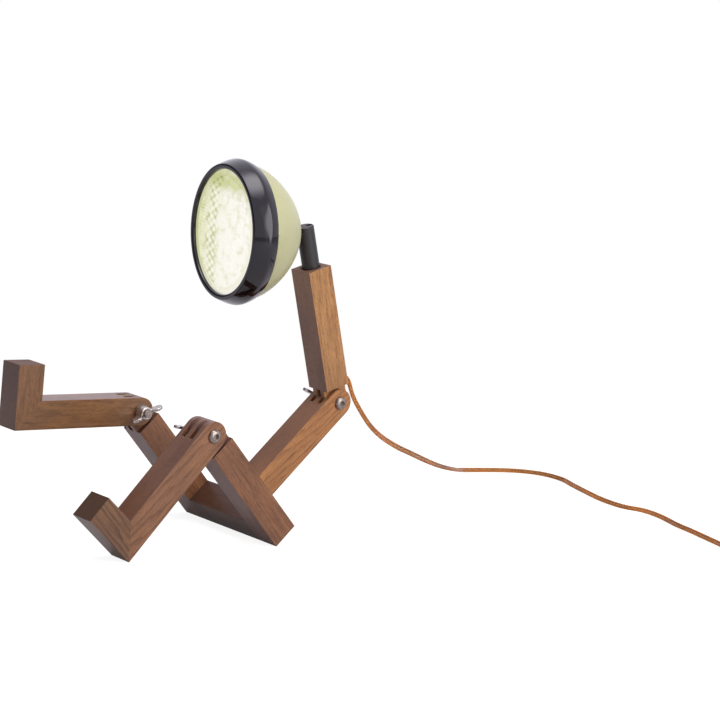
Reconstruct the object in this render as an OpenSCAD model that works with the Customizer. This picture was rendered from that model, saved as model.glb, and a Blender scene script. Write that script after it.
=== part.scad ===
// Seated figure desk lamp: jointed hardwood beams with finger hinges, a bolt and a wing nut
// in each hinge, and a round headlamp on a swivelling, tilting neck.
// Millimetres. +Z is up, the figure faces -Y, +X is its left. The origin is under the middle.

/* [Beams] */
// Width of every beam, from side to side
beam_w = 23; // [20:0.5:28]
// Thickness of every beam, seen from the side
beam_t = 22; // [20:0.5:24]
// Gap on each side of a hinge finger
finger_gap = 0.25; // [0.1:0.05:0.3]
// Distance from a hinge pin to the square shoulder of the inner fingers
shoulder = 13; // [12.5:0.5:15]
// Distance from a hinge pin to the bottom of the finger slots
slot_depth = 13; // [12.5:0.5:18]

/* [Hips and legs] */
// Width over both thighs
hip_w = 119; // [105:1:130]
// Hip end to knee pin
thigh_len = 112; // [100:1:125]
// Knee pin to sole
shin_len = 112.5; // [102:0.5:125]
// Heel to toe
foot_len = 49.5; // [44:0.5:60]
// Slope of the thighs above the table
thigh_slope = 47.5; // [44:0.5:52]
// Slope of the raised right shin, negative when the foot is above the knee
shin_right_slope = -1; // [-10:0.5:30]

/* [Torso] */
// Front of the hip frame to the waist pin
lower_torso_len = 134; // [125:1:145]
// Waist pin to the top of the upper torso
upper_torso_len = 113; // [105:1:125]
// Forward lean of the upper torso
torso_lean = 16.5; // [5:0.5:25]

/* [Neck and head] */
// Diameter of the neck post
post_d = 14; // [12:0.5:14]
// Height of the neck post above the torso
post_rise = 34; // [30:1:40]
// Turn of the head towards the figure's right
head_turn = 8.8; // [0:0.1:15]
// Upward tilt of the head from square to the torso
head_lift = 15.3; // [5:0.1:18]
// Radius of the lens that shows in the bezel
lens_r = 48; // [46:0.5:48.5]
// Largest radius of the bezel
bezel_r = 56.5; // [56:0.5:58]
// Depth of the shell behind the lens plane
shell_depth = 60; // [59:0.5:60]

/* [Hardware] */
// Diameter of the hinge bolts
bolt_d = 6; // [5:1:6]
// Diameter of the bolt heads
bolt_head_d = 10.5; // [9.5:0.5:12]
// Tip to tip span of the wing nuts
wing_span = 28; // [24:1:30]
// Width of the flat twin lead, twice its thickness
cord_w = 5; // [4:0.5:5]

/* [Hidden] */
$fn = 64;

// colours
walnut = "#7a5238";
dowel_wood = "#d8b98c";
nickel = "#8d8983";
black = "#2c2a2c";
copper = "#b5763f";

// fits and small sizes
fit = 0.05;             // radial running clearance of a pin in its hole
seat = 0.1;             // gap round a part that is glued or pressed into its hole
overlap = 0.01;         // cuts run this far past a face
half_w = beam_w / 2;
half_t = beam_t / 2;
knuckle_r = half_t;     // round end of every hinge finger
finger_w = (beam_w - 4 * finger_gap) / 5;
bolt_r = bolt_d / 2;
bolt_hole_r = bolt_r + fit;
bolt_head_r = bolt_head_d / 2;
bolt_head_h = 3.3;
bolt_tail = 9;          // thread that stands past the washer
socket_flats = 4;
washer_r = 6.2;
washer_h = 1.2;
dowel_r = 3;
dowel_len = 24;
foot_dowel_len = 15;
dowel_pitch = 11;

// places in the side view, as [y, z]
hip_edge_y = 39;        // the edge that the figure sits on, behind the origin
up = [-cos(thigh_slope), sin(thigh_slope)];      // along the thighs
back = [sin(thigh_slope), cos(thigh_slope)];     // along the lower torso
knee = [hip_edge_y, 0] + thigh_len * up + half_t * back;
waist = [hip_edge_y, 0] + half_t * up + lower_torso_len * back;
leg_x = (hip_w - beam_w) / 2;
// the left heel rests on the table, which sets the slope of that shin
shin_left_slope = asin(knee[1] / norm([shin_len, half_t])) - atan(half_t / shin_len);

// neck and head
post_r = post_d / 2;
post_top = upper_torso_len + post_rise;
socket_len = 20;
bush_wall = 0.85;
bush_sink = 0.4;
channel_r = 3.6;
exit_height = 22;       // where the lead leaves the back of the upper torso
exit_slant = 40;        // between the lead's hole and the beam
lead_out = 3;           // how far the lead's inner part stands out of that hole
pivot_forward = 9.84;   // tilt pin, in front of the neck's axis
pivot_height = 144.7;   // tilt pin, above the waist pin
lens_from_pivot = 63.3;
tongue_w = 2.9;
ear_w = 1.8;
ear_gap = 0.15;         // between the tongue and each ear of the clevis
ear_r = 2.2;            // round end of the tongue and of the ears
pin_r = 1.2;
stud_r = 2.5;           // threaded stud that holds the clevis in the shell
shell_wall = 1.2;
bezel_lap = 2.2;        // the lens reaches this far under the bezel's lip

// the bell of the shell follows |z/a|^p + |r/b|^p = 1 behind the bezel
bell_start = 18.5;
bell_r = 52.7;
bell_a = 46.3;
bell_p = 1.56;
function bell(depth) = bell_r * pow(1 - pow((depth - bell_start) / bell_a, bell_p), 1 / bell_p);

// the free lead: hand-placed points from the beam's back over the table to the switch
lead_route = [
    [0, 137.2, 121.1], [0, 142.5, 117.6], [-1, 148.5, 112], [-3, 155, 101.5], [-7, 165, 91],
    [-16, 185, 74.5], [-24, 202, 63.8], [-32, 220, 54.7], [-42, 244, 44.5], [-52, 268, 35.8],
    [-65, 298, 24.9], [-78, 328, 15], [-92, 359, 7], [-103, 380, 2.8], [-101, 401, 1.8],
    [-94, 421, 1.8], [-83, 438.5, 1.8], [-67, 449, 1.8], [-45, 450, 1.8], [-26, 443, 1.8],
    [-3, 435, 1.8], [30, 425, 1.8], [57, 423, 1.8], [75, 430, 1.8], [97, 428, 1.8],
    [126, 418, 1.8], [147, 413, 1.8], [168, 407, 1.8], [189, 401, 1.8], [205, 393, 2.8],
    [214, 389, 4.6], [223, 388, 6]
];
tail_route = [
    [283, 388, 6], [291, 388.5, 5], [300, 392, 3.8], [307, 400, 3.3], [310, 411, 3.3],
    [310, 424, 3.3], [309.5, 436, 3.3]
];
end_route = [
    [276, 475.5, 8.3], [265, 476.5, 8.2], [254, 479, 7.6], [243, 481, 7], [232, 482, 6.8]
];
cord_t = cord_w / 2;
roll_hanging = -75;     // the flat lead hangs nearly on edge
roll_lying = -25;       // and lies a little tilted
cord_sides = 10;
rings_per_span = 2;
coil_centre = [276, 442];
coil_inner_r = 21;
coil_outer_r = 36;
coil_h = 10;
tie_wall = 0.8;

// the in-line switch lies along X
switch_at = [253, 388];
switch_len = 40;
switch_w = 22;
switch_split = 6;       // height of the joint between its two halves
switch_h = 15;
sleeve_len = 10;
rocker_pin_z = 11.8;
rocker_len = 15;
rocker_w = 9.4;
rocker_rest = 6;        // the rocker rests tilted this far

// the flat two-pin plug lies on its side, pins towards -X
plug_at = [210, 482, 6.8];
plug_len = 33;
plug_face = 35.3;
plug_t = 13.6;
plug_sleeve_len = 22;
plug_pin_r = 2;
plug_pin_len = 19;
plug_pin_gap = 19;

// ---------- helpers ----------

// extrudes a [y, z] outline along X
module along_x(from, to) {
    translate([from, 0, 0]) rotate([90, 0, 90]) linear_extrude(to - from) children();
}

module rod_x(from, to, r) {
    translate([from, 0, 0]) rotate([0, 90, 0]) cylinder(h = to - from, r = r);
}

function finger_x(n) = -half_w + n * (finger_w + finger_gap);

// frames: the hip frame has Z along the thighs and Y along the lower torso
module hip_frame() {
    translate([0, hip_edge_y, 0]) rotate([90 - thigh_slope, 0, 0]) children();
}
module shin_frame(x, slope) {
    translate([x, knee[0], knee[1]]) rotate([slope - 90, 0, 0]) children();
}
module torso_frame() {
    translate([0, waist[0], waist[1]]) rotate([torso_lean, 0, 0]) children();
}
module neck_frame() {
    torso_frame() rotate([0, 0, -head_turn]) children();
}
// the head frame has Z out through the lens, Y up and its origin in the lens plane
module head_frame() {
    neck_frame() translate([0, -pivot_forward, pivot_height])
        rotate([90 - head_lift, 0, 0]) translate([0, 0, lens_from_pivot]) children();
}

// the two inner fingers of a hinge, reaching up to the pin from a shoulder below it
module inner_fingers() {
    difference() {
        for (n = [1, 3])
            along_x(finger_x(n), finger_x(n) + finger_w) {
                circle(knuckle_r);
                translate([-half_t, -shoulder - overlap])
                    square([beam_t, shoulder + overlap]);
            }
        rod_x(-beam_w, beam_w, bolt_hole_r);
    }
}

// what the two inner fingers need in the three outer ones: two slots and the pin's hole
module outer_finger_cuts() {
    for (n = [1, 3])
        along_x(finger_x(n) - finger_gap, finger_x(n) + finger_w + finger_gap)
            translate([-beam_t, -slot_depth]) square([2 * beam_t, slot_depth + beam_t]);
    rod_x(-beam_w, beam_w, bolt_hole_r);
}

// button head screw along X: its head stands on x = 0, and its shank runs to -X
module button_bolt(grip) {
    color(nickel) {
        rod_x(-grip - washer_h - bolt_tail, 0, bolt_r);
        difference() {
            rotate([0, 90, 0]) rotate_extrude() button_head_outline();
            translate([1.2, 0, 0]) rotate([0, 90, 0])
                cylinder(h = bolt_head_h, r = socket_flats / sqrt(3), $fn = 6);
        }
    }
}
module button_head_outline() {
    crown_r = 0.45 * bolt_head_r;
    polygon(concat([[0, 0], [bolt_head_r, 0], [bolt_head_r, 0.6]],
        [for (a = [15:15:90]) [crown_r + (bolt_head_r - crown_r) * cos(a),
                               0.6 + (bolt_head_h - 0.6) * sin(a)]],
        [[0, bolt_head_h]]));
}

module washer() {
    color(nickel) difference() {
        rod_x(0, washer_h, washer_r);
        rod_x(-1, washer_h + 1, bolt_r + 0.2);
    }
}

// wing nut along +X from its seat, wings at the given angle about X
module wing_nut(angle) {
    hub_r = 6.1;
    hub_top_r = 4.9;
    hub_h = 7.2;
    lobe_r = 4.4;
    wing_t = 2.2;
    color(nickel) rotate([angle, 0, 0]) difference() {
        union() {
            rotate([0, 90, 0]) cylinder(h = hub_h, r1 = hub_r, r2 = hub_top_r);
            for (side = [0, 180])
                rotate([side, 0, 0]) translate([0, 0, -wing_t / 2]) linear_extrude(wing_t)
                    hull() {
                        translate([6.6, wing_span / 2 - lobe_r]) circle(lobe_r);
                        translate([3, 3]) circle(2.5);
                    }
        }
        rod_x(-1, hub_h + 6, bolt_hole_r);
    }
}

// ---------- hips ----------

module hip_crosspiece() {
    reach = hip_w / 2 - beam_w;
    color(walnut) hip_frame() difference() {
        translate([-reach, 0, 0]) cube([2 * reach, beam_t, beam_t]);
        hip_dowel_holes();
    }
}

module thigh(x) {
    color(walnut) hip_frame() difference() {
        union() {
            translate([x - half_w, 0, 0]) cube([beam_w, beam_t, thigh_len - shoulder]);
            translate([x, half_t, thigh_len]) inner_fingers();
        }
        hip_dowel_holes();
    }
}
module thigh_left() { thigh(leg_x); }
module thigh_right() { thigh(-leg_x); }

module lower_torso() {
    color(walnut) hip_frame() difference() {
        along_x(-half_w, half_w) {
            translate([beam_t, 0]) square([lower_torso_len - beam_t, beam_t]);
            translate([lower_torso_len, half_t]) circle(knuckle_r);
        }
        translate([0, lower_torso_len, half_t]) rotate([-90, 0, 0]) outer_finger_cuts();
        hip_dowel_holes();
    }
}

// the dowels that hold the hip frame together, or their holes
module hip_dowel_set(r, len) {
    for (side = [-1, 1], y = [half_t - 4, half_t + 4])
        translate([side * (hip_w / 2 - beam_w), y, half_t]) rod_x(-len / 2, len / 2, r);
    for (x = [-dowel_pitch / 2, dowel_pitch / 2])
        translate([x, beam_t - len / 2, half_t]) rotate([-90, 0, 0]) cylinder(h = len, r = r);
}
module hip_dowel_holes() { hip_dowel_set(dowel_r + seat, dowel_len + 2); }
module hip_dowels() { color(dowel_wood) hip_frame() hip_dowel_set(dowel_r, dowel_len); }

module waist_bolt() {
    translate([half_w, waist[0], waist[1]]) rotate([20, 0, 0]) button_bolt(beam_w);
}
module waist_washer() {
    translate([-half_w, waist[0], waist[1]]) mirror([1, 0, 0]) washer();
}
module wing_nut_waist() {
    translate([-half_w - washer_h, waist[0], waist[1]]) mirror([1, 0, 0]) wing_nut(153);
}

// ---------- legs ----------

// shin and foot meet in a mitre from the heel to the instep
module shin(x, slope) {
    color(walnut) shin_frame(x, slope) difference() {
        along_x(-half_w, half_w) {
            circle(knuckle_r);
            polygon([[-half_t, 0], [-half_t, beam_t - shin_len], [half_t, -shin_len], [half_t, 0]]);
        }
        outer_finger_cuts();
        foot_dowel_set(dowel_r + seat, foot_dowel_len + 2);
    }
}
module foot(x, slope) {
    toe = half_t - foot_len;
    color(walnut) shin_frame(x, slope) difference() {
        along_x(-half_w, half_w)
            polygon([[half_t, -shin_len], [toe, -shin_len], [toe, beam_t - shin_len],
                     [-half_t, beam_t - shin_len]]);
        foot_dowel_set(dowel_r + seat, foot_dowel_len + 2);
    }
}
module foot_dowel_set(r, len) {
    for (x = [-dowel_pitch / 2, dowel_pitch / 2])
        translate([x, 0, half_t + 2 - shin_len - len / 2]) cylinder(h = len, r = r);
}
module foot_dowels(x, slope) {
    color(dowel_wood) shin_frame(x, slope) foot_dowel_set(dowel_r, foot_dowel_len);
}
module shin_left() { shin(leg_x, shin_left_slope); }
module shin_right() { shin(-leg_x, shin_right_slope); }
module foot_left() { foot(leg_x, shin_left_slope); }
module foot_right() { foot(-leg_x, shin_right_slope); }
module foot_dowels_left() { foot_dowels(leg_x, shin_left_slope); }
module foot_dowels_right() { foot_dowels(-leg_x, shin_right_slope); }

// knee hardware: heads on the outer sides, wing nuts on the inner sides
module at_left_knee(x) { translate([x, knee[0], knee[1]]) children(); }
module at_right_knee(x) { translate([-x, knee[0], knee[1]]) mirror([1, 0, 0]) children(); }
module knee_bolt_left() { at_left_knee(leg_x + half_w) rotate([50, 0, 0]) button_bolt(beam_w); }
module knee_bolt_right() { at_right_knee(leg_x + half_w) rotate([10, 0, 0]) button_bolt(beam_w); }
module knee_washer_left() { at_left_knee(leg_x - half_w) mirror([1, 0, 0]) washer(); }
module knee_washer_right() { at_right_knee(leg_x - half_w) mirror([1, 0, 0]) washer(); }
module wing_nut_left() {
    at_left_knee(leg_x - half_w - washer_h) mirror([1, 0, 0]) wing_nut(172);
}
module wing_nut_right() {
    at_right_knee(leg_x - half_w - washer_h) mirror([1, 0, 0]) wing_nut(24);
}

// ---------- upper torso and neck ----------

// the lead's slanted hole, from the channel to past the back face
module exit_axis() {
    translate([0, half_t, exit_height]) rotate([180 + exit_slant, 0, 0]) children();
}

module upper_torso() {
    channel_end = exit_height + half_t / tan(exit_slant);
    color(walnut) torso_frame() difference() {
        union() {
            translate([-half_w, -half_t, shoulder])
                cube([beam_w, beam_t, upper_torso_len - shoulder]);
            rotate([180, 0, 0]) inner_fingers();
        }
        translate([0, 0, upper_torso_len - socket_len])
            cylinder(h = socket_len + 1, r = post_r + fit + bush_wall + seat);
        translate([0, 0, channel_end])
            cylinder(h = upper_torso_len - socket_len - channel_end + 1, r = channel_r);
        exit_axis() translate([0, 0, -half_t / sin(exit_slant) - 3])
            cylinder(h = 40, r = channel_r);
    }
}

module neck_bush() {
    inner = post_r + fit;
    color(black) torso_frame() translate([0, 0, upper_torso_len - socket_len]) difference() {
        cylinder(h = socket_len - bush_sink, r = inner + bush_wall);
        translate([0, 0, -1]) cylinder(h = socket_len + 2, r = inner);
    }
}

// sleeve that lines the slanted hole, cut flush with the beam's back
module cord_grommet() {
    depth = 9;
    color(black) torso_frame() difference() {
        exit_axis() translate([0, 0, -depth]) cylinder(h = 2 * depth, r = channel_r - seat);
        exit_axis() translate([0, 0, -depth - 1]) cylinder(h = 3 * depth, r = cord_w / 2 + seat);
        translate([-beam_w, half_t, 0]) cube([2 * beam_w, beam_w, beam_w * 2]);
    }
}

// the lead inside the beam: up the slanted hole, round a corner and up the channel
module twin_section() {
    hull() for (side = [-1, 1]) translate([side * cord_t / 2, 0]) circle(cord_t / 2, $fn = 24);
}
module torso_lead() {
    slant_len = half_t / sin(exit_slant) + cord_t / 2;
    corner_z = exit_height + half_t / tan(exit_slant) - cord_t / 2;
    color(copper) torso_frame() {
        exit_axis() translate([0, 0, -slant_len]) linear_extrude(slant_len + lead_out)
            rotate(-roll_hanging) twin_section();
        translate([0, 0, corner_z]) linear_extrude(upper_torso_len - socket_len - corner_z)
            twin_section();
    }
}

module neck_post() {
    foot_z = upper_torso_len - socket_len;
    edge = 0.5;
    color(black) neck_frame() difference() {
        rotate_extrude() polygon([[0, foot_z], [post_r - edge, foot_z], [post_r, foot_z + edge],
            [post_r, post_top - edge], [post_r - edge, post_top], [0, post_top]]);
        translate([0, 0, foot_z - 1]) cylinder(h = post_top - foot_z - 9, r = 3.2);
        translate([0, 3.5, post_top - 5]) cylinder(h = 6, r = 2.25);
        translate([-tongue_w / 2 - seat, -post_r - 1, pivot_height - ear_r - seat])
            cube([tongue_w + 2 * seat, 3 + seat, 2 * ear_r + 1]);
    }
}

// flat tongue on the front of the post, drilled for the tilt pin
module neck_tongue() {
    root = post_r - 2;
    color(black) neck_frame() translate([0, 0, pivot_height]) difference() {
        along_x(-tongue_w / 2, tongue_w / 2) {
            translate([-pivot_forward, -ear_r]) square([pivot_forward - root, 2 * ear_r]);
            translate([-pivot_forward, 0]) circle(ear_r);
        }
        translate([0, -pivot_forward, 0]) rod_x(-5, 5, pin_r + fit);
    }
}

// ---------- head ----------

module head_clevis() {
    plate = 0.9;
    reach = lens_from_pivot - shell_depth;
    color(black) head_frame() {
        difference() {
            for (side = [-1, 1])
                translate([side * (tongue_w / 2 + ear_gap + ear_w / 2) - ear_w / 2, 0, 0])
                    rotate([0, 90, 0]) linear_extrude(ear_w) {
                        translate([lens_from_pivot, 0]) circle(ear_r);
                        translate([shell_depth, -ear_r]) square([reach, 2 * ear_r]);
                    }
            translate([0, 0, -lens_from_pivot]) rod_x(-6, 6, pin_r + 0.02);
        }
        translate([0, 0, -shell_depth - plate]) cylinder(h = plate, r = 7);
        translate([0, 0, -shell_depth - overlap]) cylinder(h = 7 + overlap, r = stud_r);
    }
}

module tilt_pin() {
    color(nickel) head_frame() translate([0, 0, -lens_from_pivot]) rod_x(-3.6, 3.6, pin_r);
}

module clevis_nut() {
    color(nickel) head_frame() translate([0, 0, -shell_depth + shell_wall]) difference() {
        cylinder(h = 4, r = 4.6, $fn = 6);
        translate([0, 0, -1]) cylinder(h = 6, r = stud_r + fit);
    }
}

// pressed sheet shell: a straight skirt inside the bezel, the bell and a flat back
module shell() {
    skirt_front = 10;
    steps = 14;
    bell_end = 57.5;
    back_r = 16;
    depths = [for (n = [0:steps]) bell_start + (bell_end - bell_start) * n / steps];
    outer = concat([[bell_r, -skirt_front]], [for (d = depths) [bell(d), -d]],
        [[back_r, -shell_depth]]);
    inner = [for (p = outer)
        [p[0] - shell_wall, p[1] + (p[1] < -bell_start - 1 ? shell_wall : 0)]];
    color("#cbca9e") head_frame() difference() {
        rotate_extrude($fn = 96) polygon(concat([[0, -shell_depth]],
            [for (n = [len(outer) - 1:-1:0]) outer[n]], inner,
            [[0, -shell_depth + shell_wall]]));
        translate([0, 0, -shell_depth - 1]) cylinder(h = 4, r = stud_r + seat);
    }
}

// glossy ring with a flat front, a bevelled flank and a rolled back edge
module bezel() {
    lip = lens_r;
    color(black) head_frame() rotate_extrude($fn = 96) polygon([
        [lip, -0.4], [lip + 1, 1.1], [lip + 3.6, 1.2], [lip + 4.6, 0.4],
        [bezel_r - 0.6, -8.2], [bezel_r, -10], [bezel_r - 0.1, -12], [bezel_r - 1, -15.5],
        [bell_r + 1.4, -18.4], [bell_r + 0.9, -19.2], [bell_r + 0.2, -19],
        [bell_r + 0.2, -16.5], [bezel_r - 2, -12], [bezel_r - 2, -9.5],
        [lip + 3.4, -1.6], [lip, -1.6]]);
}

// moulded glass: a flat flange behind the bezel's lip and a slightly domed front
function lens_front(r) = 2.4 - 3.8 * pow(r / lens_r, 2);
module lens() {
    front = [for (r = [0:6:lens_r - 1]) [r, lens_front(r)]];
    back_side = [for (n = [len(front) - 1:-1:0]) [front[n][0], front[n][1] - 3]];
    rim_r = lens_r + bezel_lap;
    color([1, 0.98, 0.86, 0.7]) head_frame() rotate_extrude($fn = 96)
        polygon(concat(front, [[lens_r - 0.3, -1.75], [rim_r, -1.75], [rim_r, -4.4],
            [lens_r - 1, -4.4]], back_side));
}

module lens_gasket() {
    color("dimgray") head_frame() translate([0, 0, -6]) difference() {
        cylinder(h = 1.5, r = lens_r + bezel_lap, $fn = 96);
        translate([0, 0, -1]) cylinder(h = 4, r = lens_r - 1, $fn = 96);
    }
}

// pressed aluminium bowl, a parabola from the lamp holder to the rim
module reflector() {
    rim = 7.2;
    rim_r = lens_r + bezel_lap;
    vertex = 42;
    sheet = 0.8;
    squareness = pow(lens_r - 1, 2) / (vertex - rim);
    bowl = [for (d = [vertex - 2.4, 38, 35, 31, 26, 20, 13, rim])
        [sqrt(squareness * (vertex - d)), -d]];
    rear = [for (n = [len(bowl) - 1:-1:0]) [bowl[n][0] + 0.7, bowl[n][1] - sheet]];
    color("silver") head_frame() rotate_extrude($fn = 96) polygon(concat(bowl,
        [[lens_r - 1, -6.1], [rim_r, -6.1], [rim_r, -rim - sheet]], rear));
}

module lamp_holder() {
    color("whitesmoke") head_frame() difference() {
        rotate_extrude() polygon([[0, -52], [9, -52], [9, -43.6], [13.5, -43.6], [13.5, -41.2],
            [8, -41.2], [8, -37], [0, -37]]);
        translate([0, 0, -47]) cylinder(h = 11, r = 4.1);
    }
}

module led_bulb() {
    color([1, 0.96, 0.82]) head_frame() {
        translate([0, 0, -46.9]) cylinder(h = 12, r = 4);
        rotate_extrude() polygon(concat([[0, -36.5], [5, -36.5], [7.5, -34]],
            [for (a = [0:15:90]) [7.5 * cos(a), -24 + 7.5 * sin(a)]]));
    }
}

module head_wires() {
    color("firebrick") head_frame() for (side = [-1, 1])
        translate([side * 6, 0, -58.4]) cylinder(h = 6.3, r = 0.9);
}

// ---------- free lead, switch and plug ----------

function at(p, n) = p[max(0, min(len(p) - 1, n))];
// a smooth curve through the route's points
function on_curve(p, n, t) = 0.5 * (2 * at(p, n) + t * (at(p, n + 1) - at(p, n - 1))
    + t * t * (2 * at(p, n - 1) - 5 * at(p, n) + 4 * at(p, n + 1) - at(p, n + 2))
    + t * t * t * (3 * at(p, n) - at(p, n - 1) - 3 * at(p, n + 1) + at(p, n + 2)));
function curve(p) = concat([for (n = [0:len(p) - 2], k = [0:rings_per_span - 1])
    on_curve(p, n, k / rings_per_span)], [p[len(p) - 1]]);
function unit(v) = v / norm(v);
function heading(c, n) = unit(at(c, n + 1) - at(c, n - 1));
// the lead turns from one roll to the other over its last 20 mm above the table
function roll(p) = roll_lying + (roll_hanging - roll_lying) * max(0, min(1, (p[2] - 6) / 20));
function ring_point(c, n, a) = let (level = unit(cross(heading(c, n), [0, 0, 1])),
    steep = cross(level, heading(c, n)),
    across = cos(roll(c[n])) * level + sin(roll(c[n])) * steep,
    over = cos(roll(c[n])) * steep - sin(roll(c[n])) * level)
    c[n] + (cord_w * cos(a) * across + cord_t * sin(a) * over) / 2;

module cord_tube(route) {
    c = curve(route);
    last = (len(c) - 1) * cord_sides;
    points = [for (n = [0:len(c) - 1], k = [0:cord_sides - 1])
        ring_point(c, n, 360 * k / cord_sides)];
    sides = [for (n = [0:len(c) - 2], k = [0:cord_sides - 1]) let (m = (k + 1) % cord_sides)
        [n * cord_sides + k, n * cord_sides + m, (n + 1) * cord_sides + m,
         (n + 1) * cord_sides + k]];
    ends = [[for (k = [cord_sides - 1:-1:0]) k], [for (k = [0:cord_sides - 1]) last + k]];
    color(copper) polyhedron(points, concat(sides, ends));
}
module cord_lead() { cord_tube(lead_route); }
module cord_tail() { cord_tube(tail_route); }
module cord_end() { cord_tube(end_route); }

// the outer shape of the wound turns
module cord_coil() {
    soft = 2;
    color(copper) translate([coil_centre[0], coil_centre[1], tie_wall]) rotate_extrude()
        polygon([[coil_inner_r, soft], [coil_inner_r + soft, 0], [coil_outer_r - soft, 0],
            [coil_outer_r, soft], [coil_outer_r, coil_h - soft],
            [coil_outer_r - soft, coil_h], [coil_inner_r + soft, coil_h],
            [coil_inner_r, coil_h - soft]]);
}

// a strap round the turns, on the side away from the lead
module coil_tie() {
    width = 9;
    near = coil_inner_r - 0.6;
    far = coil_outer_r + seat;
    color(black) translate([coil_centre[0], coil_centre[1], 0]) rotate([0, 0, 200]) difference() {
        translate([near - tie_wall, -width / 2, 0])
            cube([far - near + 2 * tie_wall, width, coil_h + 2 * tie_wall]);
        translate([near, -width, tie_wall - seat / 2])
            cube([far - near, 2 * width, coil_h + seat]);
    }
}

module switch_outline(grow) {
    end_r = 6;
    for (x = [-1, 1], y = [-1, 1])
        translate([x * (switch_len / 2 - end_r), y * (switch_w / 2 - end_r)])
            circle(end_r + grow);
    square([switch_len - 2 * end_r, switch_w + 2 * grow], center = true);
    square([switch_len + 2 * grow, switch_w - 2 * end_r], center = true);
}
module at_switch(z) { translate([switch_at[0], switch_at[1], z]) children(); }

module switch_base() {
    color(black) at_switch(0) linear_extrude(switch_split) switch_outline(0);
}
module switch_cover() {
    play = 1.1;
    color(black) difference() {
        union() {
            at_switch(switch_split) linear_extrude(switch_h - switch_split - 1.5)
                switch_outline(0);
            at_switch(switch_h - 1.5) linear_extrude(1.5) switch_outline(-1.2);
        }
        at_switch(switch_split + 1)
            translate([-rocker_len / 2 - play, -rocker_w / 2 - 0.4, 0])
            cube([rocker_len + 2 * play, rocker_w + 0.8, switch_h]);
        at_switch(rocker_pin_z) rotate([90, 0, 0])
            cylinder(h = rocker_w + 4, r = 1 + fit, center = true);
    }
}
// tapered sleeves where the lead enters and leaves
module switch_sleeves() {
    color(black) for (side = [0, 180])
        at_switch(switch_split) rotate([0, 0, side]) translate([switch_len / 2, 0, 0])
            rotate([0, 90, 0]) cylinder(h = sleeve_len, r1 = 4.6, r2 = cord_w / 2 + 0.6);
}
// dished rocker on its cross pin
module switch_rocker() {
    color("#3a3a3c") at_switch(rocker_pin_z) rotate([0, -rocker_rest, 0]) {
        rotate([90, 0, 0]) translate([0, 0, -rocker_w / 2]) linear_extrude(rocker_w)
            polygon([[-7.5, -2.5], [7.5, -2.5], [7.5, 3.3], [4, 2.4], [0, 2.1], [-4, 2.4],
                     [-7.5, 3.3]]);
        rotate([90, 0, 0]) cylinder(h = rocker_w + 3, r = 1, center = true);
    }
}

module plug_sleeve() {
    color(black) translate(plug_at) rotate([0, 90, 0])
        cylinder(h = plug_sleeve_len, r1 = 5.2, r2 = cord_w / 2 + 0.6);
}
module plug_body() {
    shoulder_w = plug_face / 2;
    color(black) translate([plug_at[0], plug_at[1], 0]) linear_extrude(plug_t)
        polygon([[-plug_len, -shoulder_w], [-plug_len, shoulder_w], [-plug_len + 8, shoulder_w],
            [-plug_len + 20, 10.5], [-2, 7.5], [0, 6.5], [0, -6.5], [-2, -7.5],
            [-plug_len + 20, -10.5], [-plug_len + 8, -shoulder_w]]);
}
module plug_pins() {
    color("silver") for (side = [-1, 1])
        translate([plug_at[0] - plug_len, plug_at[1] + side * plug_pin_gap / 2, plug_at[2]])
            rod_x(-plug_pin_len, 0, plug_pin_r);
}

// ---------- build ----------

hip_crosspiece();
thigh_left();
thigh_right();
lower_torso();
hip_dowels();
waist_bolt();
waist_washer();
shin_left();
foot_left();
foot_dowels_left();
knee_bolt_left();
knee_washer_left();
shin_right();
foot_right();
foot_dowels_right();
knee_bolt_right();
knee_washer_right();
wing_nut_left();
wing_nut_right();
wing_nut_waist();
upper_torso();
neck_bush();
cord_grommet();
torso_lead();
neck_post();
neck_tongue();
head_clevis();
tilt_pin();
clevis_nut();
shell();
bezel();
lens();
lens_gasket();
reflector();
lamp_holder();
led_bulb();
head_wires();
cord_lead();
switch_base();
switch_cover();
switch_sleeves();
switch_rocker();
cord_tail();
cord_coil();
coil_tie();
cord_end();
plug_sleeve();
plug_body();
plug_pins();
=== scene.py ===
# %% [markdown]
# # A seated figure desk lamp
# The lamp is a small seated figure. Nine oiled walnut beams, glued or hinged to each
# other, make its body and legs, and a round headlamp on a black post is its head. A clear
# twin flex leaves the back of the torso. The rigid pieces come from the CAD model and are
# in place already. This lesson gives them their finishes. It also makes the pieces that
# bend, and those whose forms are too fine for the solids: the flex, its strap and plug,
# the cast wing nuts, the turned ring and shell, and the lens.
#
# Sizes on the lamp are written in millimetres, and MM turns them into Blender's metres.
# The room, its lights and the camera's distance are in metres.

# %% Open the CAD model
import math

import bmesh
import bpy
from mathutils import Matrix, Vector


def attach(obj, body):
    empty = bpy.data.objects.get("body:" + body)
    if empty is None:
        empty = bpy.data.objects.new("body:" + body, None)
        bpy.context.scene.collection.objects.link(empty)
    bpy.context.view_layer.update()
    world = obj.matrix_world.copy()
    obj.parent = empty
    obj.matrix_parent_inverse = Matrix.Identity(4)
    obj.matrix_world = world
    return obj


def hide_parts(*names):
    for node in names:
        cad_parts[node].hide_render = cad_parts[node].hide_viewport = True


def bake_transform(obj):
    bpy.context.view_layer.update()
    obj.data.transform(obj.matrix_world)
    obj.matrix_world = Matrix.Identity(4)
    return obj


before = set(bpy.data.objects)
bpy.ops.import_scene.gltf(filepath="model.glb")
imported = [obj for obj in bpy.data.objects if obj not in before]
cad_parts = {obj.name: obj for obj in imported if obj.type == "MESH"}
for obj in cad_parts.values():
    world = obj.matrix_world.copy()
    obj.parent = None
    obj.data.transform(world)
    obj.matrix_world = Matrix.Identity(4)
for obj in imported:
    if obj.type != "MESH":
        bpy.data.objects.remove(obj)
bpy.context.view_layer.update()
MM = 0.001

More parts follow.
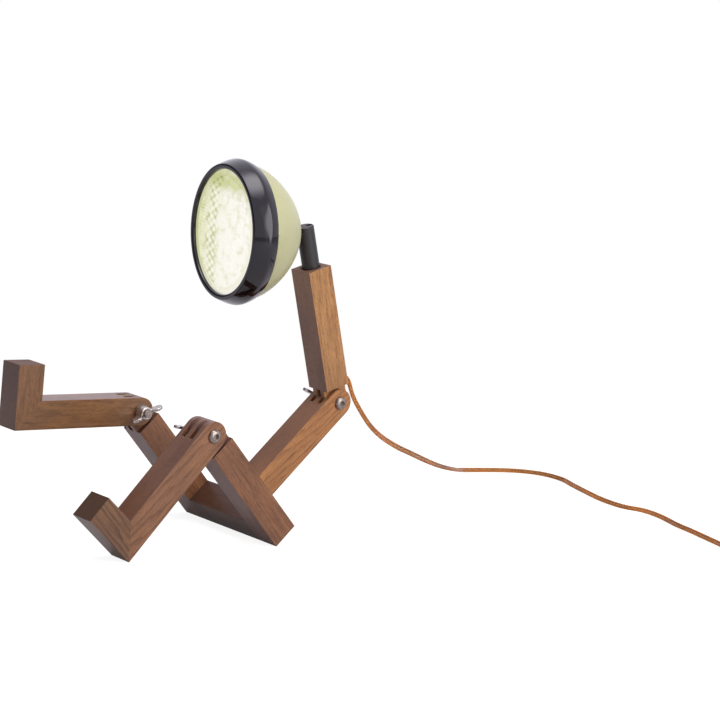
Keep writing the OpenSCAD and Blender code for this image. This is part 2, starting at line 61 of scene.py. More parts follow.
# %% [markdown]
# ## The camera
# Seen from far off through a long lens, the beams stay nearly parallel, as a small
# product's should. The camera is placed by the point that it aims at and by three angles:
# the azimuth round the object, the elevation above the table, and the roll about its own
# axis. It stands in front of the figure's left knee, a little above the table.

# %% Place the camera
AZIMUTH, ELEVATION, ROLL = (math.radians(a) for a in (49.55, 8.92, 5.0))
AIM, DISTANCE = Vector((0, 157.2, 130.65)) * MM, 1.874
FOCAL_MM, SENSOR_MM = 115.75, 36
away = Vector((math.sin(AZIMUTH) * math.cos(ELEVATION),
               -math.cos(AZIMUTH) * math.cos(ELEVATION), math.sin(ELEVATION)))
sideways = (-away).cross(Vector((0, 0, 1))).normalized()
upright = sideways.cross(-away)
right = sideways * math.cos(ROLL) + upright * math.sin(ROLL)
up = upright * math.cos(ROLL) - sideways * math.sin(ROLL)
long_lens = bpy.data.cameras.new("portrait_lens")
long_lens.lens, long_lens.sensor_width = FOCAL_MM, SENSOR_MM
long_lens.clip_start, long_lens.clip_end = 0.05, 50
camera = bpy.data.objects.new("camera", long_lens)
camera.matrix_world = Matrix.Translation(AIM + away * DISTANCE) @ \
    Matrix((right, up, away)).transposed().to_4x4()
bpy.context.scene.collection.objects.link(camera)
bpy.context.scene.camera = camera
print("camera at, mm:", [round(c / MM) for c in camera.location])

# %% [markdown]
# ## Colours and nodes
# A finish is a tree of nodes that ends in a shader. Its colours are written as the sRGB
# hex values of a paint chart, and one function turns them into the linear light that the
# renderer works with. Another adds a node, sets it and links it. Inputs go by name or by
# number: on a Mix node 0 is the factor, 2 and 3 are the two numbers, 6 and 7 are the two
# colours, and the mixed colour leaves by output 2.

# %% Turn colours and add nodes
def linear(hex_colour):
    """Turns an sRGB colour such as #B08055 into linear red, green, blue and alpha."""
    parts = [int(hex_colour[i:i + 2], 16) / 255 for i in (1, 3, 5)]
    return [c / 12.92 if c <= 0.04045 else ((c + 0.055) / 1.055) ** 2.4 for c in parts] + [1]


def add(tree, kind, inputs=None, stops=(), **settings):
    """Adds a node. An input is a value, or a node or socket to link. A ramp has stops."""
    node = tree.nodes.new("ShaderNode" + kind)
    for name, value in settings.items():
        setattr(node, name, value)
    for key, value in (inputs or {}).items():
        if isinstance(value, bpy.types.Node):
            value = value.outputs[0]
        if isinstance(value, bpy.types.NodeSocket):
            tree.links.new(value, node.inputs[key])
        else:
            node.inputs[key].default_value = value
    for n, (position, colour) in enumerate(stops):
        if n == len(node.color_ramp.elements):
            node.color_ramp.elements.new(position)
        element = node.color_ramp.elements[n]
        element.position, element.color = position, linear(colour)
    return node


def empty_tree(owner):
    """Gives a material, light or world a node tree with nothing in it."""
    owner.use_nodes = True
    owner.node_tree.nodes.clear()
    return owner.node_tree


print("sRGB #808080 in linear light:", round(linear("#808080")[0], 3))

# %% [markdown]
# ## Finishes that are nearly even
# Few real surfaces are quite even. Moulded, plated and painted ones are faintly mottled
# in colour, gloss and height, at a scale of about a millimetre. One noise draws all
# three, so a spot that is darker is also a little smoother and lower. Its grain is given
# in millimetres. The real grain of a moulded or painted skin is a tenth of that or so,
# too fine to show, and is drawn coarser. The Bevel node rounds the shading at sharp
# edges, which then catch the light as real edges do. A piece that is round in its mesh
# goes without it.

# %% Draw a mottled finish
def speckled(name, pale, dark, grain_mm, rough, bump_mm, edge_mm=0.3, **inputs):
    """A finish with fine mottling in its colour, roughness and surface, and soft edges."""
    material = bpy.data.materials.new(name)
    tree = empty_tree(material)
    place = add(tree, "TexCoord").outputs["Object"]
    noise = add(tree, "TexNoise", {"Vector": place, "Scale": 1 / (grain_mm * MM), "Detail": 3.0})
    colour = add(tree, "ValToRGB", {"Fac": noise}, stops=[(0.35, dark), (0.65, pale)])
    uneven = add(tree, "MapRange", {"Value": noise, "From Min": 0.3, "From Max": 0.7,
                                    "To Min": rough[0], "To Max": rough[1]})
    relief = {"Height": noise, "Strength": 0.3, "Distance": bump_mm * MM}
    if edge_mm:
        relief["Normal"] = add(tree, "Bevel", {"Radius": edge_mm * MM}, samples=4)
    shader = add(tree, "BsdfPrincipled", {
        "Base Color": colour, "Roughness": uneven, "Normal": add(tree, "Bump", relief),
        **{key.replace("_", " "): value for key, value in inputs.items()}})
    add(tree, "OutputMaterial", {"Surface": shader})
    return material


def wear(material, *node_names):
    """Gives the objects of CAD nodes a material."""
    for node_name in node_names:
        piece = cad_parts[node_name]
        piece.data.materials.clear()
        piece.data.materials.append(material)
    print(material.name, "on:", ", ".join(node_names))


# %% [markdown]
# ## The cord's facts
# The lead is a clear flat twin flex, 5 mm wide, and a table lamp has about 1.8 m of it.
# It leaves the torso through a slanted hole, falls to the table in one sag, and runs off
# in loose curves to a rocker switch. The rest is wound in a tied coil, with the plug
# beside it. The route is a list of points, the same as in the CAD model, because a cord
# lies where its weight and its last handling left it, which no formula gives. A smooth
# curve runs through them. The first 32 points run from the exit to the switch, and the
# others through it, to the coil, and from the coil to the plug.

# %% Draw the cord's route
LEAD = [
    (0, 137.2, 121.1), (0, 142.5, 117.6), (-1, 148.5, 112), (-3, 155, 101.5), (-7, 165, 91),
    (-16, 185, 74.5), (-24, 202, 63.8), (-32, 220, 54.7), (-42, 244, 44.5), (-52, 268, 35.8),
    (-65, 298, 24.9), (-78, 328, 15), (-92, 359, 7), (-103, 380, 2.8), (-101, 401, 1.8),
    (-94, 421, 1.8), (-83, 438.5, 1.8), (-67, 449, 1.8), (-45, 450, 1.8), (-26, 443, 1.8),
    (-3, 435, 1.8), (30, 425, 1.8), (57, 423, 1.8), (75, 430, 1.8), (97, 428, 1.8),
    (126, 418, 1.8), (147, 413, 1.8), (168, 407, 1.8), (189, 401, 1.8), (205, 393, 2.8),
    (214, 389, 4.6), (223, 388, 6)]
IN_SWITCH = [(238, 388, 6), (253, 388, 6), (268, 388, 6)]
TAIL = [(283, 388, 6), (291, 388.5, 5), (300, 392, 3.8), (307, 400, 3.3), (310, 411, 3.3),
        (310, 424, 3.3), (309.5, 436, 3.3)]
PLUG_END = [(276, 475.5, 8.3), (265, 476.5, 8.2), (254, 479, 7.6), (243, 481, 7), (232, 482, 6.8)]
CORD_WIDTH, CORD_LENGTH = 5, 1800


def smooth(points, per_span):
    """A Catmull-Rom curve through the points, as the CAD model has it."""
    last, out = len(points) - 1, []
    for n in range(last):
        a, b, c, d = (Vector(points[max(0, min(last, k))]) for k in range(n - 1, n + 3))
        for k in range(per_span):
            t = k / per_span
            out.append(0.5 * (2 * b + t * (c - a) + t * t * (2 * a - 5 * b + 4 * c - d)
                              + t ** 3 * (3 * b - a - 3 * c + d)))
    return out + [Vector(points[-1])]


through_switch = smooth([LEAD[-1]] + IN_SWITCH + [TAIL[0]], 3)
lying = smooth(LEAD, 4) + through_switch[1:-1] + smooth(TAIL, 4)
print("points on the route up to the coil:", len(lying))

# %% [markdown]
# ## The coil
# Spare cord is wound inwards on the table, then outwards on top of the first layer, so
# both of its ends are on the outside. Its turns lie nearly a cord's width apart. Five and
# a quarter of them use up the length, and the quarter points the end towards the plug.

# %% Wind the coil
COIL_CENTRE, COIL_OUTER, COIL_INNER = (276, 442), 33.5, 23.5
LAYER_LOW, LAYER_HIGH = 3.4, 8.3
TURNS, PER_TURN = 5.25, 48
one_layer = TURNS / 2 - 0.5
coil = []
for k in range(int(TURNS * PER_TURN) + 1):
    turn = k / PER_TURN
    inwards = min(1, turn / one_layer)
    outwards = max(0, (turn - one_layer - 1) / one_layer)
    radius = COIL_OUTER + (COIL_INNER - COIL_OUTER) * (inwards - outwards)
    rise = max(0.0, min(1.0, turn - one_layer))
    angle = 2 * math.pi * turn
    coil.append(Vector((COIL_CENTRE[0] + radius * math.cos(angle),
                        COIL_CENTRE[1] + radius * math.sin(angle),
                        LAYER_LOW + (LAYER_HIGH - LAYER_LOW) * rise)))
cord_line = lying + coil[1:-1] + smooth(PLUG_END, 4)
measured = sum((b - a).length for a, b in zip(cord_line, cord_line[1:]))
print("cord, mm:", round(measured), "in", len(cord_line), "points")

# %% [markdown]
# ## Clear PVC and stranded copper
# The flex is extruded: soft clear PVC is drawn over two cores of bare copper strands and
# cooled in a bath. It could be drawn as one orange tube, but then it would lack what the
# eye knows it by, the metal that shines deep inside a glossy skin. So the sheath is a
# transmitting material, and the cores inside it have a material of their own. The
# strands are a diagonal wave on the core's own run: UV X goes once round it, and UV Y is
# the distance along it in millimetres.

# %% Make the materials of the flex
# Clear PVC with its plasticiser has a faint honey tint, and its skin is glossy. PVC's own
# IOR is 1.53, but in a tube this thin that hides the copper behind white reflections of
# the room. A lower one lets it show.
sheath = speckled("extruded_clear_pvc", "#FFDDAE", "#FACF98", 4.0, (0.09, 0.15), 0.01,
                  edge_mm=0, IOR=1.22, Specular_Tint=linear("#F2C98C"),
                  Transmission_Weight=0.97)
print("sheath:", sheath.name)

# %% Twist the copper strands
# Bare strands twisted together give lit crests and dark valleys that run slantwise. Real
# ones are 0.2 mm thick, too fine to show, so the crests are drawn 1 mm apart on the run.
STRANDS, CREST_MM, HANDBREADTH = 20, 1.0, 70
WAVE = 0.314
core = bpy.data.materials.new("stranded_copper")
tree = empty_tree(core)
along = add(tree, "TexCoord").outputs["UV"]
lay = add(tree, "Mapping", {"Vector": along, "Scale": (STRANDS * CREST_MM, 1, 1)})
# a wave texture of scale 1 repeats every 0.314 units along an axis, and twice that slantwise
strands = add(tree, "TexWave", {"Vector": lay, "Scale": 2 * WAVE / CREST_MM, "Distortion": 0.3},
              wave_type="BANDS", bands_direction="DIAGONAL").outputs["Fac"]
# painted light and shade: the copper's colour runs from dark in the valleys to pale on the crests,
# besides the crests' bump
copper = add(tree, "ValToRGB", {"Fac": strands}, stops=[(0.1, "#69421B"), (0.9, "#C98B48")])
# painted light and shade: as a flex rolls slowly along its run, its copper catches more or less
# light, so the colour is made paler and darker by the hand's breadth
run = add(tree, "Math", {0: add(tree, "SeparateXYZ", {0: along}).outputs["Y"],
                         1: 1 / HANDBREADTH}, operation="MULTIPLY")
slow = add(tree, "TexNoise", {"W": run, "Scale": 1.0, "Detail": 1.0}, noise_dimensions="1D")
light = add(tree, "ValToRGB", {"Fac": slow}, stops=[(0.35, "#C8C8C8"), (0.65, "#FFFFFF")])
copper = add(tree, "Mix", {0: 1.0, 6: copper, 7: light}, data_type="RGBA", blend_type="MULTIPLY")
crests = add(tree, "Bump", {"Height": strands, "Strength": 0.4, "Distance": 0.05 * MM})
shader = add(tree, "BsdfPrincipled", {"Base Color": copper.outputs[2], "Roughness": 0.42,
                                      "Normal": crests})
add(tree, "OutputMaterial", {"Surface": shader})
print("strands round the core:", STRANDS, "with a crest every", CREST_MM, "mm")

# %% [markdown]
# ## Sweep a section along a line
# A cord and a strap are one section carried along a line. Blender's curve objects can do
# that, but they roll as they like and give no distance along the run. A sweep in bmesh
# keeps both in hand: each ring of the mesh is the section, set square to the line and
# rolled by its own angle.

# %% Sweep a section
def sweep(mesh, line, section, turn, slot, closed_ends=True):
    """Sweeps a closed section of (across, up) points along a line; turn rolls it, in radians."""
    uv = mesh.loops.layers.uv.verify()
    rings = []
    for n, point in enumerate(line):
        heading = (line[min(n + 1, len(line) - 1)] - line[max(n - 1, 0)]).normalized()
        across = heading.cross(Vector((0, 0, 1))).normalized()
        rise = across.cross(heading)
        c, s = math.cos(turn[n]), math.sin(turn[n])
        rings.append([mesh.verts.new((point + across * (u * c - v * s)
                                      + rise * (u * s + v * c)) * MM) for u, v in section])
    count, run = len(section), 0.0
    for n in range(len(line) - 1):
        step = (line[n + 1] - line[n]).length
        for k in range(count):
            face = mesh.faces.new((rings[n][k], rings[n + 1][k], rings[n + 1][(k + 1) % count],
                                   rings[n][(k + 1) % count]))
            face.material_index, face.smooth = slot, True
            for loop, (a, b) in zip(face.loops, ((0, k), (1, k), (1, k + 1), (0, k + 1))):
                loop[uv].uv = (b / count, run + a * step)
        run += step
    if closed_ends:
        for ring in (rings[0], rings[-1][::-1]):
            mesh.faces.new(ring).material_index = slot


# %% Make an object of a mesh
def new_piece(name, mesh, *materials):
    """Makes an object of a bmesh and gives it its materials."""
    bmesh.ops.recalc_face_normals(mesh, faces=mesh.faces)
    data = bpy.data.meshes.new(name)
    mesh.to_mesh(data)
    mesh.free()
    for material in materials:
        data.materials.append(material)
    piece = bpy.data.objects.new(name, data)
    bpy.context.scene.collection.objects.link(piece)
    return piece


def bake_modifiers(piece):
    """Replaces a piece's mesh with what its modifiers make of it."""
    graph = bpy.context.evaluated_depsgraph_get()
    made = bpy.data.meshes.new_from_object(piece.evaluated_get(graph))
    piece.modifiers.clear()
    piece.data = made
    for polygon in made.polygons:
        polygon.use_smooth = True


# %% [markdown]
# ## Rubber and ABS
# The switch, the plug and the strap are moulded: rubber where a piece has to bend or to
# grip, and hard ABS where it has to keep its shape. Both are nearly black. It is the
# width of their highlights that tells them apart, so each has its own roughness.

# %% Make rubber and ABS
# Rubber from a mould is matt, and its grain is just rough enough to see.
rubber = speckled("moulded_black_rubber", "#1B1A1A", "#131212", 0.8, (0.6, 0.8), 0.05)
# ABS is moulded in a finely etched tool, so it has a broad, soft shine.
abs_black = speckled("moulded_black_abs", "#1D1D1E", "#151516", 0.5, (0.38, 0.52), 0.06)
abs_grey = speckled("moulded_grey_abs", "#3A3A3C", "#303032", 0.5, (0.34, 0.46), 0.04)
print("moulded finishes:", rubber.name, abs_black.name, abs_grey.name)

# %% [markdown]
# ## The coil's strap
# A rubber band, 9 mm wide and 0.7 mm thick, closes round all the turns. A ring squashed
# into shape would be uneven in thickness. So its line is drawn, a rounded rectangle that
# stands on the table, and the band's section is swept once round it.

# %% Strap the coil
def rounded_loop(near, far, low, high, radius, per_corner=6):
    """A closed rounded rectangle that starts in the middle of its lower side."""
    points = [Vector(((near + far) / 2, low, 0))]
    for x, y, first in ((far - radius, low + radius, -90), (far - radius, high - radius, 0),
                        (near + radius, high - radius, 90), (near + radius, low + radius, 180)):
        for k in range(per_corner + 1):
            a = math.radians(first + 90 * k / per_corner)
            points.append(Vector((x + radius * math.cos(a), y + radius * math.sin(a), 0)))
    return points + points[:1]


STRAP_WIDE, STRAP_THICK, STRAP_AT = 9, 0.7, math.radians(200)
# how far its two upright sides are from the middle of the coil, its height and its corners
STRAP_NEAR, STRAP_FAR, STRAP_TOP, STRAP_CORNER = 21.5, 33.6, 11.25, 2.2
strap_line = rounded_loop(STRAP_NEAR, STRAP_FAR, STRAP_THICK / 2, STRAP_TOP, STRAP_CORNER)
half_thick, half_wide = STRAP_THICK / 2, STRAP_WIDE / 2
CUT_THICK, CUT_WIDE, SAME_POINT = 0.2, 0.3, 0.001
# the strap's section, with its corners cut off
band = [(-half_thick, -half_wide + CUT_WIDE), (-half_thick + CUT_THICK, -half_wide),
        (half_thick - CUT_THICK, -half_wide), (half_thick, -half_wide + CUT_WIDE)]
band += [(-x, -y) for x, y in band]
mesh = bmesh.new()
sweep(mesh, strap_line, band, [0] * len(strap_line), 0, closed_ends=False)
# the last ring of the loop lies on the first, and the two are joined
bmesh.ops.remove_doubles(mesh, verts=mesh.verts, dist=SAME_POINT * MM)
outward = Vector((math.cos(STRAP_AT), math.sin(STRAP_AT), 0))
stand = Matrix((outward, (0, 0, 1), outward.cross(Vector((0, 0, 1))))).transposed().to_4x4()
bmesh.ops.transform(mesh, verts=mesh.verts,
                    matrix=Matrix.Translation(Vector((*COIL_CENTRE, 0)) * MM) @ stand)
strap = new_piece("coil_strap", mesh, rubber)
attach(strap, "hips")
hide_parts("coil_tie")
print("strap faces:", len(strap.data.polygons))

# %% [markdown]
# ## The plug
# A flat plug is one moulded body, wide where the pins are and drawn in to where the flex
# enters. Its outline is drawn from above and raised to its thickness. A bevel modifier
# then rounds every edge, because a mould leaves no sharp ones.

# %% Mould the plug
PLUG_AT, PLUG_THICK, PLUG_ROUNDING = (210, 482), 13.6, 1.8
outline = [(-33, -17.65), (-25, -17.65), (-19, -13.6), (-12, -10.2), (-3, -7.9), (0, -6.5)]
outline += [(x, -y) for x, y in outline[::-1]]
mesh = bmesh.new()
below, above = [[mesh.verts.new(Vector((PLUG_AT[0] + x, PLUG_AT[1] + y, z)) * MM)
                 for x, y in outline] for z in (0, PLUG_THICK)]
mesh.faces.new(below[::-1])
mesh.faces.new(above)
for k in range(len(outline)):
    mesh.faces.new((below[k - 1], below[k], above[k], above[k - 1]))
plug = new_piece("moulded_plug", mesh, abs_black)
for polygon in plug.data.polygons:
    polygon.use_smooth = True
rounding = plug.modifiers.new("rounding", "BEVEL")
rounding.width, rounding.segments = PLUG_ROUNDING * MM, 5
rounding.angle_limit = math.radians(20)
rounding.harden_normals = True
bake_modifiers(plug)
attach(plug, "hips")
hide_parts("plug_body")
print("plug faces:", len(plug.data.polygons))

# %% [markdown]
# ## The twin flex
# Each strand of the flex is a core in a round sheath, and a thin web joins the two, so the
# section is two circles that open into each other. A flat flex bends easily only across
# its flat side, and rolls to do so: it hangs nearly on edge, lies a little tilted on the
# table, and stands on edge in the coil.

# %% Draw the flex's section and its roll
STRAND, CORE = CORD_WIDTH / 4, 0.86
right_strand = [(STRAND + STRAND * math.cos(a), STRAND * math.sin(a))
                for a in (math.radians(d) for d in range(-150, 151, 25))]
twin = right_strand + [(-x, y) for x, y in reversed(right_strand)]
ROLL_LYING, ROLL_HANGING, ROLL_COILED = -25, -75, -90
# it rolls over 20 mm of height, from 6 mm up, and over the last 18 rings before the coil
HANGS_ABOVE, HANGS_WITHIN, RINGS_TO_COIL = 6, 20, 18


def circle(radius, centre, count):
    """A closed circle of (across, up) points, its centre set to one side."""
    return [(centre + radius * math.cos(2 * math.pi * k / count),
             radius * math.sin(2 * math.pi * k / count)) for k in range(count)]


def roll_at(n):
    """The flex's roll at a ring, in radians, from its height and its place on the route."""
    hanging = max(0.0, min(1.0, (cord_line[n].z - HANGS_ABOVE) / HANGS_WITHIN))
    coiled = max(0.0, min(1.0, (n - len(lying) + RINGS_TO_COIL) / RINGS_TO_COIL))
    roll = ROLL_LYING + (ROLL_HANGING - ROLL_LYING) * hanging * (1 - coiled)
    return math.radians(roll + (ROLL_COILED - ROLL_LYING) * coiled)


rolls = [roll_at(n) for n in range(len(cord_line))]
print("roll at the exit and in the coil, degrees:",
      round(math.degrees(rolls[0])), round(math.degrees(rolls[-1])))


# %% Lay the flex
mesh = bmesh.new()
sweep(mesh, cord_line, twin, rolls, 0)
for side in (-1, 1):
    sweep(mesh, cord_line, circle(CORE, side * STRAND, 12), rolls, 1)
flex = new_piece("twin_flex", mesh, sheath, core)
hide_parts("cord_lead", "cord_tail", "cord_coil", "cord_end")
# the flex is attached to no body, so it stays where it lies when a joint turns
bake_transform(flex)
print("flex rings:", len(cord_line), "and faces:", len(flex.data.polygons))

# %% [markdown]
# ## The light
# The lamp stands on a white table in a white studio. A broad soft box on the figure's left
# lights the sides of the beams, and one overhead gives the tops their sheen. A real soft
# box is brightest in the middle of its cloth, and that shows as a soft-edged streak on
# gloss enamel, so the light's own nodes let it fall off towards the border.

# %% Hang the soft boxes
def soft_box(name, place, size, power, border, aim=(0, 0.08, 0.14)):
    """A lit cloth; its light falls off between two distances from its middle, in widths."""
    cloth = bpy.data.lights.new(name, "AREA")
    cloth.shape, cloth.size, cloth.energy = "SQUARE", size, power
    tree = empty_tree(cloth)
    middle = add(tree, "VectorMath", {0: add(tree, "NewGeometry").outputs["Parametric"],
                                      1: (0.5, 0.5, 0)}, operation="DISTANCE")
    falloff = add(tree, "MapRange", {"Value": middle.outputs["Value"], "From Min": border[0],
                                     "From Max": border[1], "To Min": 1.4, "To Max": 0.12},
                  interpolation_type="SMOOTHSTEP")
    lit = add(tree, "Emission", {"Strength": falloff})
    add(tree, "OutputLight", {"Surface": lit})
    box = bpy.data.objects.new(name, cloth)
    box.location = place
    box.rotation_mode = "QUATERNION"
    box.rotation_quaternion = (Vector(aim) - Vector(place)).to_track_quat("-Z", "Y")
    bpy.context.scene.collection.objects.link(box)
    print(name, "of", size, "m at", place)


# where each hangs and how wide it is, in metres, its watts, and where its fade starts and ends
soft_box("side_box", (1.5, 0.35, 0.75), 1.9, 23, (0.34, 0.5))
soft_box("top_box", (0.1, -0.1, 1.7), 1.2, 13.5, (0.1, 0.62))

# %% [markdown]
# ## The room
# Seen directly or through glass, the room is plain white. As a light, and in what gloss
# mirrors of it, it darkens towards one corner, low on the viewer's left, where a studio
# has no lamps. That corner gives the black enamel its form and the fronts of the beams
# their shade. Cards of black cloth would do it too, but they would stand in the way when
# the lamp is seen from their side. So the world's own colour does it, and the Light Path
# node tells the kinds of ray apart.

# %% Paint the room
DARK_CORNER = Vector((-0.55, -0.7, -0.45)).normalized()
AS_LIGHT, IN_GLOSS, IN_THE_CORNER = 0.26, 1.15, 0.26
world = bpy.data.worlds.new("white_studio")
tree = empty_tree(world)
rays = add(tree, "LightPath").outputs
toward_dark = add(tree, "VectorMath", {0: add(tree, "TexCoord").outputs["Generated"],
                                       1: DARK_CORNER}, operation="DOT_PRODUCT")
wall = add(tree, "MapRange", {"Value": toward_dark.outputs["Value"], "From Min": 0.0,
                              "From Max": 0.7, "To Min": 1.0, "To Max": IN_THE_CORNER},
           interpolation_type="SMOOTHSTEP")
level = add(tree, "MapRange", {"Value": rays["Is Glossy Ray"], "To Min": AS_LIGHT,
                               "To Max": IN_GLOSS})
lit = add(tree, "Math", {0: wall, 1: level}, operation="MULTIPLY")
seen = add(tree, "Math", {0: rays["Is Camera Ray"], 1: rays["Is Transmission Ray"]},
           operation="MAXIMUM")
strength = add(tree, "Math", {0: lit, 1: seen}, operation="MAXIMUM")
tint = add(tree, "ValToRGB", {"Fac": wall}, stops=[(0.3, "#9490B8"), (0.95, "#EDEAF6")])
tint = add(tree, "Mix", {0: seen, 6: tint, 7: linear("#FFFFFF")}, data_type="RGBA")
room = add(tree, "Background", {"Color": tint.outputs[2], "Strength": strength})
add(tree, "OutputWorld", {"Surface": room})
bpy.context.scene.world = world
bpy.context.scene.view_settings.view_transform = "Standard"
print("world:", world.name)

# %% [markdown]
# ## The table
# White paper is matt and keeps only the soft shadow of the lamp. It glows for the camera,
# which makes it as white as the room, but it casts no more light on the lamp than grey
# paper does, so the undersides stay dark. From about a third of a metre out it fades into
# the room, and no edge shows.

# %% Lay the table
GLOW, GLOW_IN_GLOSS = 0.88, 0.18
# where the fade starts and ends, and the shift that puts its middle under the lamp
FADE_FROM, FADE_TO, FADE_SHIFT = 0.35, 0.75, (-0.05, -0.1, 0)
table = bpy.data.materials.new("white_paper_table")
tree = empty_tree(table)
rays = add(tree, "LightPath").outputs
# grey in the light that it throws back, and white where gloss mirrors it
colour = add(tree, "ValToRGB", {"Fac": rays["Is Glossy Ray"]},
             stops=[(0.0, "#A8A6A4"), (1.0, "#F4EEF6")])
paper = add(tree, "BsdfPrincipled", {"Base Color": colour, "Roughness": 0.9})
seen = add(tree, "Math", {0: rays["Is Camera Ray"], 1: rays["Is Transmission Ray"]},
           operation="MAXIMUM")
mirrored = add(tree, "Math", {0: rays["Is Glossy Ray"], 1: GLOW_IN_GLOSS}, operation="MULTIPLY")
seen = add(tree, "Math", {0: seen, 1: mirrored}, operation="MAXIMUM")
glow = add(tree, "Math", {0: seen, 1: GLOW}, operation="MULTIPLY")
lift = add(tree, "Emission", {"Color": linear("#FFFFFF"), "Strength": glow})
near = add(tree, "AddShader", {0: paper, 1: lift})
spot = add(tree, "Mapping", {"Vector": add(tree, "TexCoord").outputs["Object"],
                             "Location": FADE_SHIFT})
reach = add(tree, "VectorMath", {0: spot}, operation="LENGTH").outputs["Value"]
fade = add(tree, "MapRange", {"Value": reach, "From Min": FADE_FROM, "From Max": FADE_TO},
           interpolation_type="SMOOTHSTEP")
fade = add(tree, "Math", {0: fade, 1: seen}, operation="MULTIPLY")
far = add(tree, "Emission", {"Color": linear("#FFFFFF"), "Strength": 1.0})
add(tree, "OutputMaterial", {"Surface": add(tree, "MixShader", {0: fade, 1: near, 2: far})})
mesh = bmesh.new()
bmesh.ops.create_grid(mesh, x_segments=1, y_segments=1, size=12)
floor = new_piece("table_top", mesh, table)
# a hair below the feet, so that the two surfaces don't fight
floor.location.z = -0.2 * MM
print("table:", floor.name)

# %% [markdown]
# ## Where each beam lies
# Grain has to run along each beam, and to stay in it when a joint turns. A CAD node's
# object coordinates stay with its body, so a material can read them and turn them into
# the beam's own axes: Z along the beam, and X through the hinge bolts. These are the
# places and slopes of the CAD model's joints.

# %% Find the beams' own axes
def turn_x(degrees):
    """A turn about X, the direction of the hinge bolts."""
    return Matrix.Rotation(math.radians(degrees), 4, "X")


def shin_axes(x, slope):
    """The axes of a shin, at its own side of the lamp."""
    return Matrix.Translation(KNEE + Vector((x * MM, 0, 0))) @ turn_x(slope - 90)


HIP_CORNER = Vector((0, 39, 0)) * MM
KNEE = Vector((0, -28.556, 90.007)) * MM
WAIST = Vector((0, 130.364, 98.639)) * MM
LEFT_SIDE, RIGHT_SIDE = 48, -48
HIP_SLOPE, LEFT_SLOPE, RIGHT_SLOPE, LEAN = 42.5, 47.19, -1, 16.5
HEAD_TURN, HEAD_LIFT = 8.8, 15.3
HIP = Matrix.Translation(HIP_CORNER) @ turn_x(HIP_SLOPE)
TORSO = Matrix.Translation(WAIST) @ turn_x(LEAN)
NECK = TORSO @ Matrix.Rotation(math.radians(-HEAD_TURN), 4, "Z")
TILT_PIN, LENS_AHEAD = Vector((0, -9.84, 144.7)) * MM, Vector((0, 0, 63.3)) * MM
HEAD = NECK @ Matrix.Translation(TILT_PIN) @ turn_x(90 - HEAD_LIFT) \
    @ Matrix.Translation(LENS_AHEAD)
ALONG_Y, ALONG_X = turn_x(-90), Matrix.Rotation(math.radians(90), 4, "Y")
print("lens centre, mm:", [round(c / MM, 1) for c in HEAD.translation])

# %% [markdown]
# ## Oiled walnut
# Walnut sawn into narrow beams shows straight dark streaks a few millimetres apart, fine
# fibres and short dark pores. Oil leaves an open, softly glossy surface. An image of wood
# would have to be unwrapped onto every beam, and would run out at the ends, so the wood
# is solid instead: noises in three dimensions, drawn out along the beam, and rings round
# a pith that lies beside it. A cut through such wood shows streaks on the sides and rings
# on the ends, as real timber does.

# %% Draw the grain out along the beam
def beam_place(tree, axes, seed):
    """Object coordinates turned into a beam's own, in mm; the seed moves them in the log."""
    return add(tree, "Mapping", {
        "Vector": add(tree, "TexCoord").outputs["Object"],
        "Location": axes.translation + axes.to_3x3() @ Vector((0.31, 0.17, 0.07)) * seed,
        "Rotation": axes.to_euler(), "Scale": (MM,) * 3}, vector_type="TEXTURE")


# how far each goes across and along the beam, in mm, and its noise's detail and roughness;
# real fibres are a twentieth of a millimetre wide and are drawn coarser, so that they show
GRAIN = {"bend": (14, 120, 3, 0.5), "streaks": (1.8, 34, 4, 0.6), "fibres": (0.7, 22, 5, 0.75),
         "flecks": (1.6, 5, 2, 0.5), "sway": (20, 45, 1, 0.5)}


def grain_noises(tree, place):
    """The noises of the grain, by name."""
    noises = {}
    for name, (across, along, detail, rough) in GRAIN.items():
        drawn = add(tree, "Mapping", {"Vector": place,
                                      "Scale": (1 / across, 1 / across, 1 / along)})
        noises[name] = add(tree, "TexNoise", {"Vector": drawn, "Scale": 1.0, "Detail": detail,
                                              "Roughness": rough})
    return noises


print("grain, mm across and along:", {name: sizes[:2] for name, sizes in GRAIN.items()})

# %% [markdown]
# ## Growth rings
# A tree adds a ring each year, pale in spring and dark in late summer, so the wave of the
# rings is a saw that rises slowly and drops at once. The rings come from a pith that lies
# about 50 mm beside the beam, and a slow noise bends them. They are mixed with the
# streaks and fibres: bold rings leave little room for these.

# %% Lay growth rings and mix the grain
BEND_MM, PITH_MM, EVEN_TONE = 9, 44, 0.48


def growth_rings(tree, place, bend, seed, ring_mm):
    """Rings round a pith beside the beam, bent by a slow noise and darker in late wood."""
    bent = add(tree, "VectorMath", {0: bend.outputs["Color"], 1: (BEND_MM, BEND_MM, 0), 2: place},
               operation="MULTIPLY_ADD")
    # every beam lies elsewhere in its log, and a little askew
    log = add(tree, "Mapping", {"Vector": bent,
                                "Location": (seed % 3 * 4 - 4, PITH_MM + 5 * seed % 12, 0),
                                "Rotation": (math.radians(3), math.radians(-2), 0)})
    rings = add(tree, "TexWave", {"Vector": log, "Scale": WAVE / ring_mm},
                wave_type="RINGS", rings_direction="Z", wave_profile="SAW")
    return add(tree, "MapRange", {"Value": rings.outputs["Fac"], "From Min": 0.45,
                                  "To Min": 0.6, "To Max": 0.34})


def grain_tone(tree, noises, rings, painted_sheen, figure):
    """Mixes streaks, rings, fibres and flecks into one tone, pulled to an even tone where a sheen
    is painted, as if a reflection washed out the grain.
    """
    tone = add(tree, "Mix", {0: figure, 2: noises["streaks"], 3: rings})
    # the bolder the figure of a board, the less its fibres and flecks count
    tone = add(tree, "Mix", {0: 0.5 - 0.4 * figure, 2: tone, 3: noises["fibres"]})
    tone = add(tree, "Mix", {0: 0.3 - 0.25 * figure, 2: tone, 3: noises["flecks"]})
    return add(tree, "Mix", {0: painted_sheen, 2: tone, 3: EVEN_TONE})


